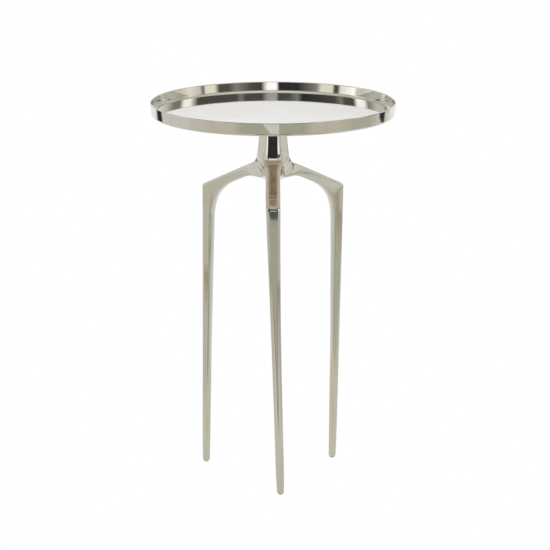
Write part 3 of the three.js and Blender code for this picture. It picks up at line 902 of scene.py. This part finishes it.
def studio_world():
    """A white studio with black flags, warm windows and an open front, seen in the polish."""
    world = bpy.data.worlds.new("studio")
    bpy.context.scene.world = world
    world.use_nodes = True
    nodes = Nodes(world.node_tree)
    nodes.tree.nodes.clear()
    looking = nodes.add("ShaderNodeTexCoord").outputs["Generated"]
    parts = nodes.add("ShaderNodeSeparateXYZ", {"Vector": looking}).outputs
    bearing, turn = compass(nodes, parts)
    climb = nodes.math("MULTIPLY", nodes.math("ARCSINE", parts["Z"]), 180 / math.pi)
    front = nodes.math("COSINE", nodes.math("MULTIPLY", bearing, 0.5))
    raised = nodes.math("MULTIPLY_ADD", front, -FRONT_RISE, climb)

    def band(start, full, fading, end):
        """1 between two heights in degrees, with soft ends."""
        return nodes.math(
            "MULTIPLY", nodes.stretch(climb, start, full), nodes.stretch(climb, end, fading))

    # From the horizon up: low, around, calm and above. All heights are in degrees.
    low = panels(nodes, turn, HORIZON)
    around = panels(nodes, turn, [
        (-180, WHITE), (-150, PALE), (-134, PALE), (-123, SMOKE), (-115, SMOKE), (-112, STRAW),
        (-98, PALE), (-89, PALE), (-85, GLARE), (-69, STRAW), (-66, DUSK), (-62, DUSK), (-60, STRAW),
        (-48, STRAW), (-43, SMOKE), (-30, DUSK), (-24, BLACK), (0, BLACK), (22, DUSK), (36, SMOKE),
        (44, DUSK), (54, DUSK), (59, STRAW), (69, STRAW), (70, SMOKE), (73, SMOKE), (75, PALE),
        (88, STRAW), (100, PALE), (122, PALE), (126, SMOKE), (131, STRAW), (144, PALE), (180, WHITE)])
    above = panels(nodes, turn, [
        (-180, WHITE), (-150, PALE), (-146, DUSK), (-138, PALE), (-124, PALE), (-110, SMOKE),
        (-103, GLARE), (-94, GLARE), (-89, DUSK), (-78, DUSK), (-73, SMOKE), (-66, DUSK), (-30, BLACK),
        (-25, SMOKE), (-16, DUSK), (0, DUSK), (28, DUSK), (33, SMOKE), (38, DUSK), (82, DUSK),
        (88, PALE), (92, GLARE), (100, GLARE), (106, SMOKE), (116, SMOKE), (130, PALE), (146, STRAW),
        (150, SMOKE), (180, WHITE)])
    gap = panels(nodes, turn, [(-5.5, (0, 0, 0)), (-3.5, GLARE), (0, GLARE), (5, GLARE), (11, (0, 0, 0))])
    calm = panels(nodes, turn, [
        (-180, WHITE), (-120, PALE), (-40, PALE), (-20, OLIVE), (0, OLIVE), (20, OLIVE), (40, PALE),
        (120, PALE), (180, WHITE)])
    lower = nodes.blend(nodes.stretch(raised, -11.2, -10.9), low, around)
    upper = nodes.blend(nodes.stretch(raised, 3.0, 7.0), calm, above)
    banded = nodes.blend(nodes.stretch(raised, -7.2, -6.4), lower, upper)
    # A bright gap in front, and fainter again further up.
    open_front = nodes.math("MULTIPLY_ADD", band(22.0, 24.0, 30.0, 32.0), 0.3, band(5.8, 6.1, 8.0, 8.4))
    opened = nodes.blend(open_front, banded, gap, "ADD")
    ceiling = nodes.blend(nodes.stretch(climb, 36.0, 80.0), (*OLIVE, 1), (*WHITE, 1))
    # The even white sheet behind the table, which the dish's floor mirrors.
    rear = nodes.stretch(nodes.math("ABSOLUTE", bearing), 2.4, 2.9)
    sheet = nodes.math("MULTIPLY", band(10.0, 10.35, 14.0, 20.0), rear)
    brighter = nodes.blend(sheet, opened, (0.99, 1.0, 1.03, 1))
    lit = nodes.blend(nodes.stretch(climb, 34.0, 39.0), brighter, ceiling)

    seen = nodes.add("ShaderNodeLightPath").outputs["Is Camera Ray"]
    backdrop = nodes.add("ShaderNodeBackground", {"Color": (1, 1, 1, 1), "Strength": 1.0})
    panorama = nodes.add("ShaderNodeBackground", {"Color": lit, "Strength": 1.0})
    both = nodes.add("ShaderNodeMixShader", {
        0: seen, 1: panorama.outputs[0], 2: backdrop.outputs[0]})
    nodes.add("ShaderNodeOutputWorld", {"Surface": both.outputs[0]})


def bare_material(piece, name):
    """Gives a piece of the studio a new material and returns its empty nodes."""
    material = bpy.data.materials.new(name)
    piece.data.materials.append(material)
    material.use_nodes = True
    nodes = Nodes(material.node_tree)
    nodes.tree.nodes.clear()
    return nodes


def studio_floor():
    """A pale floor that glows. The camera sees it plain white; the polish sees it as a sweep of painted panels
    of light and shade, which ends in the dark of the room.
    """
    deselect()
    bpy.ops.mesh.primitive_plane_add(size=16)
    floor = bpy.context.object
    floor.name = "studio_floor"
    nodes = bare_material(floor, "studio floor")
    place = nodes.add("ShaderNodeTexCoord").outputs["Object"]
    parts = nodes.add("ShaderNodeSeparateXYZ", {"Vector": place}).outputs
    turn = compass(nodes, parts)[1]
    away = nodes.math("SQRT", nodes.math(
        "ADD", nodes.math("POWER", parts["X"], 2.0), nodes.math("POWER", parts["Y"], 2.0)))

    # Painted panels of light and shade by bearing in rings about the table, which only the polish sees. All
    # distances are in metres from its axis.
    moss, clay, slate = (0.43, 0.425, 0.355), (0.36, 0.345, 0.25), (0.43, 0.42, 0.37)
    left, right, crease = (0.57, 0.55, 0.47), (0.47, 0.465, 0.37), (0.17, 0.16, 0.13)
    nearest, painted_patch_tone = (0.63, 0.62, 0.52), (0.50, 0.45, 0.38)
    left_side = [(-180, WHITE), (-150, WHITE), (-120, PALE), (-95, PALE), (-54, left)]
    right_side = [(80, right), (100, right), (118, PALE), (150, WHITE), (180, WHITE)]
    middle = panels(nodes, turn, left_side + [
        (-45, clay), (-36, clay), (-30, moss), (0, moss), (12, clay), (40, clay), (60, moss),
    ] + right_side)
    # The darkest panels close in front are painted shade: dark bands in the floor's light.
    close = panels(nodes, turn, [
        (-180, WHITE), (-110, PALE), (-75, left), (-30, left), (-20, PALE), (-15, crease), (-9, crease),
        (-6, slate), (0, slate), (6, slate), (9, crease), (15, crease), (20, PALE), (35, right),
        (52, right), (64, PALE), (80, PALE), (110, PALE), (180, WHITE)])
    far = panels(nodes, turn, left_side + [
        (-36, left), (-28, moss), (0, moss), (28, moss), (36, left), (60, left),
    ] + right_side)
    middle = nodes.blend(nodes.stretch(away, 1.52, 1.62), middle, far)
    inner = nodes.blend(nodes.stretch(away, 1.2, 1.45), close, middle)
    inner = nodes.blend(nodes.stretch(away, 0.42, 0.6), (*nearest, 1), inner)
    # Darker patches painted into the light that only the polish sees: painted shade.
    mottle = nodes.add("ShaderNodeTexNoise", {"Vector": place, "Scale": 2.6, "Detail": 2.0}).outputs["Fac"]
    inner = nodes.blend(nodes.stretch(mottle, 0.5, 0.75, 0.0, 0.4), inner, (*painted_patch_tone, 1))
    outer = nodes.blend(
        nodes.stretch(away, 2.55, 2.65), panels(nodes, turn, OUTER_WALL), panels(nodes, turn, HORIZON))
    seen_by_polish = nodes.blend(nodes.stretch(away, 2.2, 2.24), inner, outer)

    camera_ray = nodes.add("ShaderNodeLightPath").outputs["Is Camera Ray"]
    sweep = nodes.add("ShaderNodeEmission", {"Color": seen_by_polish, "Strength": 1.0})
    pale = nodes.add("ShaderNodeEmission", {"Color": (1, 1, 1, 1), "Strength": 1.0})
    both = nodes.add("ShaderNodeMixShader", {0: camera_ray, 1: sweep.outputs[0], 2: pale.outputs[0]})
    nodes.add("ShaderNodeOutputMaterial", {"Surface": both.outputs[0]})


def glowing_card():
    """A small card that glows, a painted highlight that stands in front, low, and only shows in the dish's
    rim.
    """
    deselect()
    bpy.ops.mesh.primitive_plane_add(size=0.2)
    card = bpy.context.object
    card.name = "glowing_card"
    in_front, base, top = -0.8, 0.349, 0.377
    right_end, left_end_at_base, left_end_at_top = 0.07, -0.03, -0.13
    for corner in card.data.vertices:
        left_end, height = (left_end_at_top, top) if corner.co.y > 0 else (left_end_at_base, base)
        corner.co = (right_end if corner.co.x > 0 else left_end, in_front, height)
    card.visible_camera = False
    nodes = bare_material(card, "glowing card")
    # The card gives off light of its own: a painted highlight for the polish.
    face = nodes.add("ShaderNodeEmission", {"Color": (0.70, 0.69, 0.68, 1), "Strength": 1.0})
    nodes.add("ShaderNodeOutputMaterial", {"Surface": face.outputs[0]})


def soft_box(name, place):
    """A square soft light that looks at the table's middle and isn't seen in the polish."""
    deselect()
    bpy.ops.object.light_add(type="AREA", location=place)
    light = bpy.context.object
    light.name = name
    light.data.shape = "SQUARE"
    light.data.size = SOFT_BOX_SIZE
    light.data.energy = SOFT_BOX_POWER
    light.visible_glossy = False
    aim = Vector((0, 0, LIP_Z / 2)) - Vector(place)
    light.rotation_euler = aim.to_track_quat("-Z", "Y").to_euler()


def studio_camera():
    deselect()
    bpy.ops.object.camera_add(
        location=CAMERA_PLACE, rotation=(math.radians(90) - CAMERA_TILT, 0, 0))
    camera = bpy.context.object
    camera.data.lens = CAMERA_LENS
    camera.data.sensor_width = CAMERA_SENSOR
    camera.data.shift_x = CAMERA_SHIFT
    bpy.context.scene.camera = camera


studio_world()
studio_floor()
glowing_card()
soft_box("left soft box", (-2.2, -1.6, 2.4))
soft_box("right soft box", (2.2, -1.2, 2.4))
studio_camera()
bpy.context.scene.view_settings.view_transform = "Standard"
